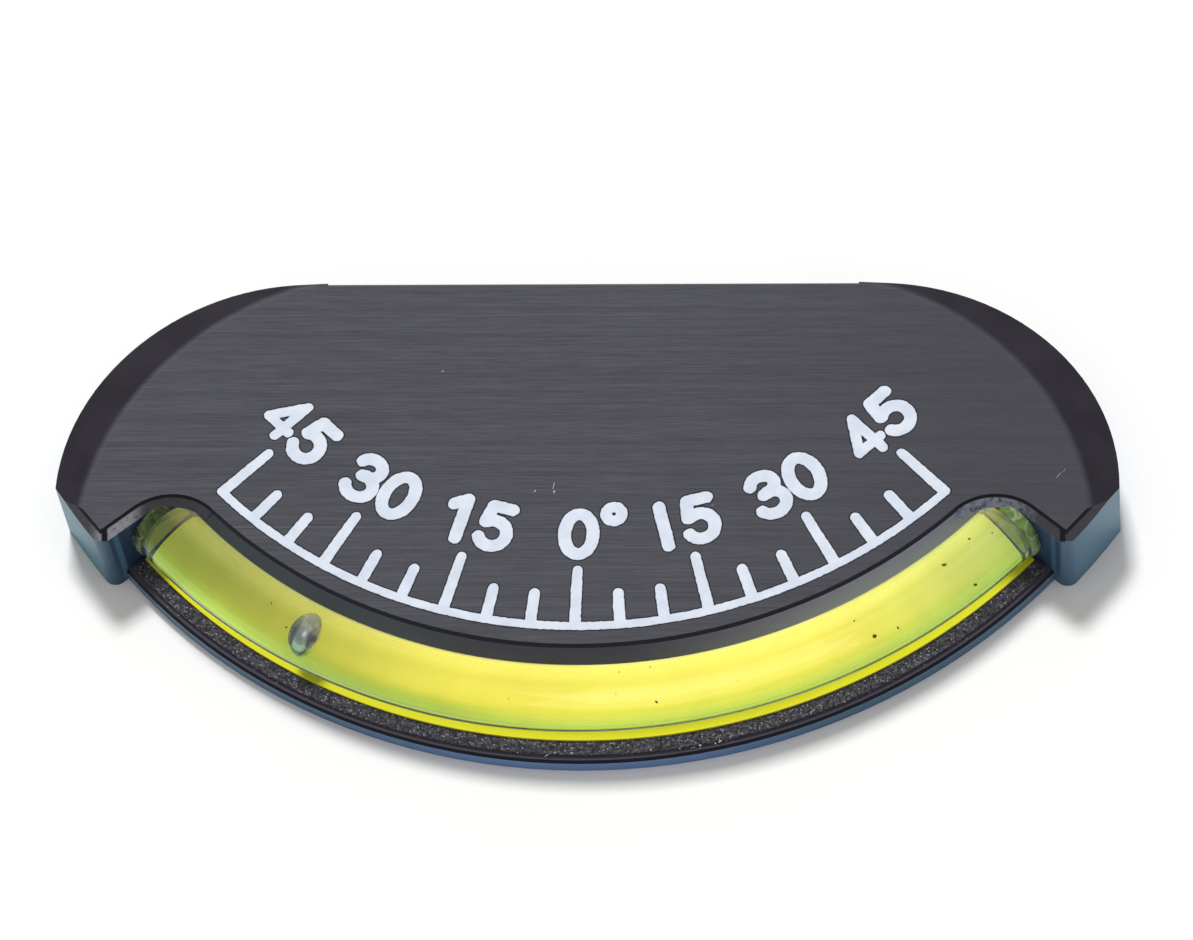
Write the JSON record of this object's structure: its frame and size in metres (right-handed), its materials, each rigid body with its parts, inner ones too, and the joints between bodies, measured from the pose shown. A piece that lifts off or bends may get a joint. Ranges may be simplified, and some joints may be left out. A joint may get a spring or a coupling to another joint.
{
  "type": "ball inclinometer",
  "caption": "Flat ball-in-tube inclinometer with a brushed dial face, an engraved arc scale in degrees, a curved clear tube over a bright film, and a self-adhesive back.",
  "frame": {"origin": "middle of the bounding rectangle of the back, on the plane that it rests on", "axes": "+X along the scale to the right, +Y up the dial towards the straight top edge, +Z out of the face"},
  "size_m": [0.1016, 0.0474, 0.0098],
  "materials": {
    "housing_black": "black acrylic sheet, face brushed along X, polished chamfers",
    "bedding_black": "grainy black foam strip",
    "film_yellow": "fluorescent yellow film",
    "tube_clear": "clear bent tube",
    "ball_steel": "polished steel ball",
    "plug_clear": "translucent stopper",
    "seal_clear": "clear sealant bead",
    "infill_white": "white engraving paint",
    "pad_foam": "white acrylic foam tape",
    "liner_paper": "waxed paper release liner"
  },
  "bodies": {
    "body": {"housing": "housing_black", "bedding_strip": "bedding_black", "reflector_film": "film_yellow", "tube": "tube_clear", "plug_left": "plug_clear", "plug_right": "plug_clear", "seal_left": "seal_clear", "seal_right": "seal_clear", "scale_infill": "infill_white", "adhesive_pad": "pad_foam", "release_liner": "liner_paper"},
    "ball": {"ball": "ball_steel"}
  },
  "joints": [
    {"name": "ball_roll", "type": "hinge", "parent": "body", "child": "ball", "pos_m": [0, 0.03525, 0.00556], "axis": [0, 0, 1], "range_deg": [-17.5, 74.5]}
  ]
}
